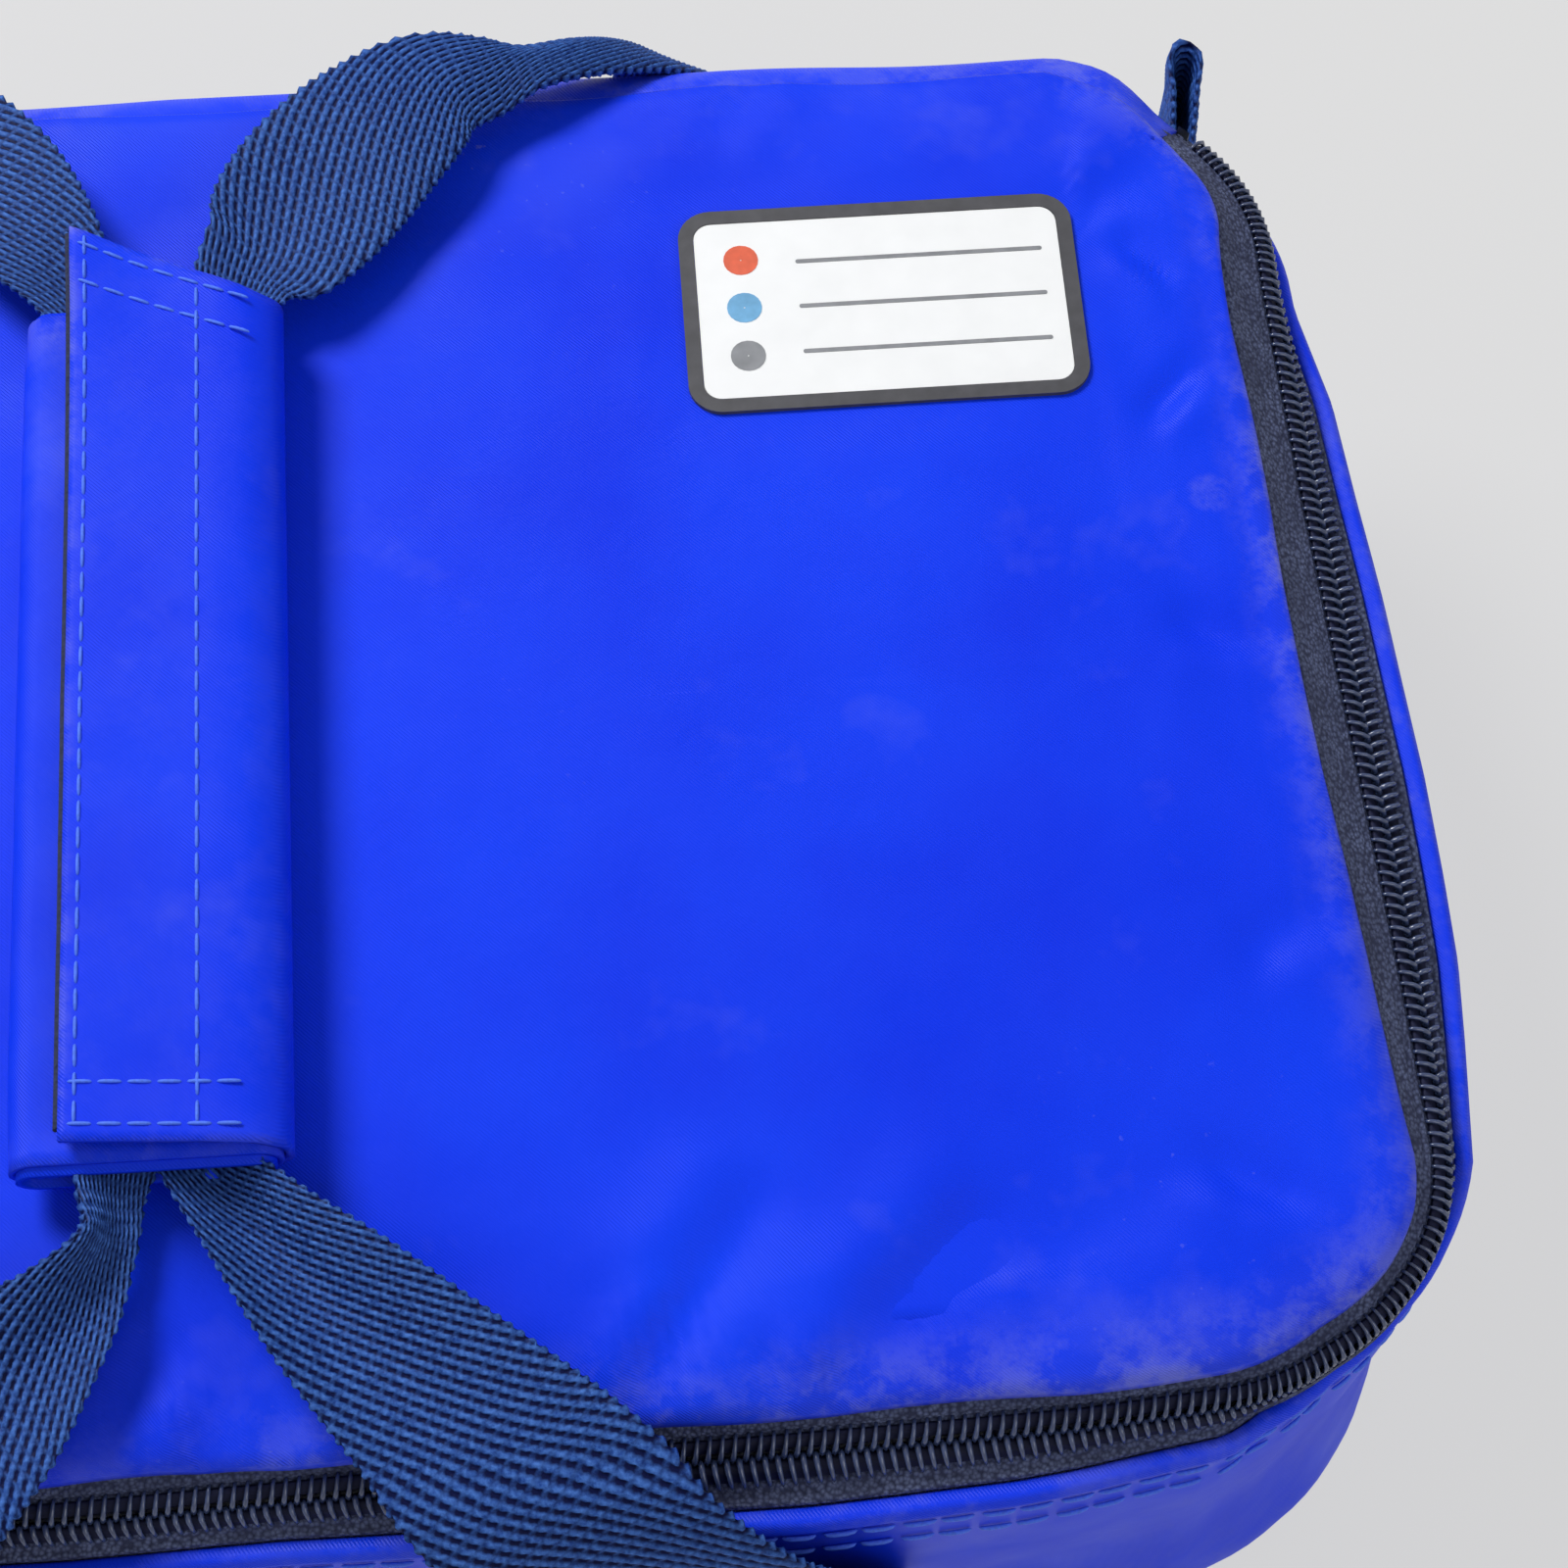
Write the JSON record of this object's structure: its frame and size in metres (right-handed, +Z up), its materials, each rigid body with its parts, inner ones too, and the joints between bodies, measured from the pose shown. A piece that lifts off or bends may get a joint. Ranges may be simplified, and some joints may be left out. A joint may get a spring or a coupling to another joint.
{
  "type": "insulated lunch box",
  "caption": "Soft-sided insulated lunch box with a zip-round hinged lid, webbing handles joined by a touch-fastening wrap, a loop tab and a blank label.",
  "frame": {"origin": "middle of the flat base, on the surface that the box stands on", "axes": "+X to the right, -Y to the front where the zip crosses, +Z up"},
  "size_m": [0.2937, 0.1977, 0.0993],
  "materials": {
    "outer_cloth": "cobalt-blue coated twill, slightly glossy, scuffed white at the folds",
    "webbing": "navy polypropylene webbing in a coarse basket weave",
    "zip_tape": "charcoal-navy woven zip tape",
    "zip_coil": "dark nylon coil with bright highlights",
    "slider_metal": "dark lacquered zinc",
    "thread": "blue polyester sewing thread",
    "foam": "white closed-cell foam",
    "lining": "pale grey wipe-clean film",
    "touch_fastener": "dark touch-fastening tape",
    "label_border": "dark grey printed border",
    "label_face": "white satin label film"
  },
  "bodies": {
    "shell": {"base_panel": "outer_cloth", "front_side_wall": "outer_cloth", "back_wall": "outer_cloth", "rim_bead": "outer_cloth", "base_foam": "foam", "wall_foam": "foam", "base_lining": "lining", "wall_lining": "lining", "lower_zip_tape": "zip_tape", "lower_zip_coil": "zip_coil", "zip_end_stops": "slider_metal", "loop_tab": "webbing", "left_front_strap_end": "webbing", "right_front_strap_end": "webbing", "left_back_strap_end": "webbing", "right_back_strap_end": "webbing", "strap_end_stitching": "thread", "hinge_fold": "outer_cloth"},
    "lid": {"lid_panel": "outer_cloth", "lid_foam": "foam", "lid_lining": "lining", "upper_zip_tape": "zip_tape", "upper_zip_coil": "zip_coil", "label_border": "label_border", "label_face": "label_face"},
    "left_handle": {"left_strap": "webbing"},
    "right_handle": {"right_strap": "webbing", "grip_wrap": "outer_cloth", "hook_strip": "touch_fastener"},
    "flap": {"grip_flap": "outer_cloth", "loop_strip": "touch_fastener"},
    "slider": {"slider_body": "slider_metal"},
    "pull_tab": {"slider_pull": "slider_metal"}
  },
  "joints": [
    {"name": "lid_hinge", "type": "hinge", "parent": "shell", "child": "lid", "pos_m": [0, 0.091, 0.074], "axis": [-1, 0, 0], "range_deg": [0, 125], "deforming": ["hinge_fold"]},
    {"name": "left_handle_swing", "type": "hinge", "parent": "shell", "child": "left_handle", "pos_m": [-0.065, 0, 0.017], "axis": [0, -1, 0], "range_deg": [0, 100], "deforming": ["left_strap"]},
    {"name": "right_handle_swing", "type": "hinge", "parent": "shell", "child": "right_handle", "pos_m": [0.065, 0, 0.017], "axis": [0, 1, 0], "range_deg": [0, 100], "deforming": ["right_strap", "grip_wrap", "hook_strip"]},
    {"name": "flap_hinge", "type": "hinge", "parent": "right_handle", "child": "flap", "pos_m": [0.0163, -0.0025, 0.0945], "axis": [0, 1, 0], "range_deg": [0, 150], "deforming": ["grip_flap", "loop_strip"]},
    {"name": "zip_slide", "type": "slide", "parent": "shell", "child": "slider", "axis": [0, -1, 0], "range_m": [0, 0.09]},
    {"name": "pull_tab_hinge", "type": "hinge", "parent": "slider", "child": "pull_tab", "pos_m": [-0.14424, 0.0505, 0.08111], "axis": [-0.7071, 0, -0.7071], "range_deg": [0, 150]}
  ],
  "couplings": [
    {"joint": "left_handle_swing", "follows": "lid_hinge", "ratio": 0.8},
    {"joint": "right_handle_swing", "follows": "lid_hinge", "ratio": 0.8}
  ]
}
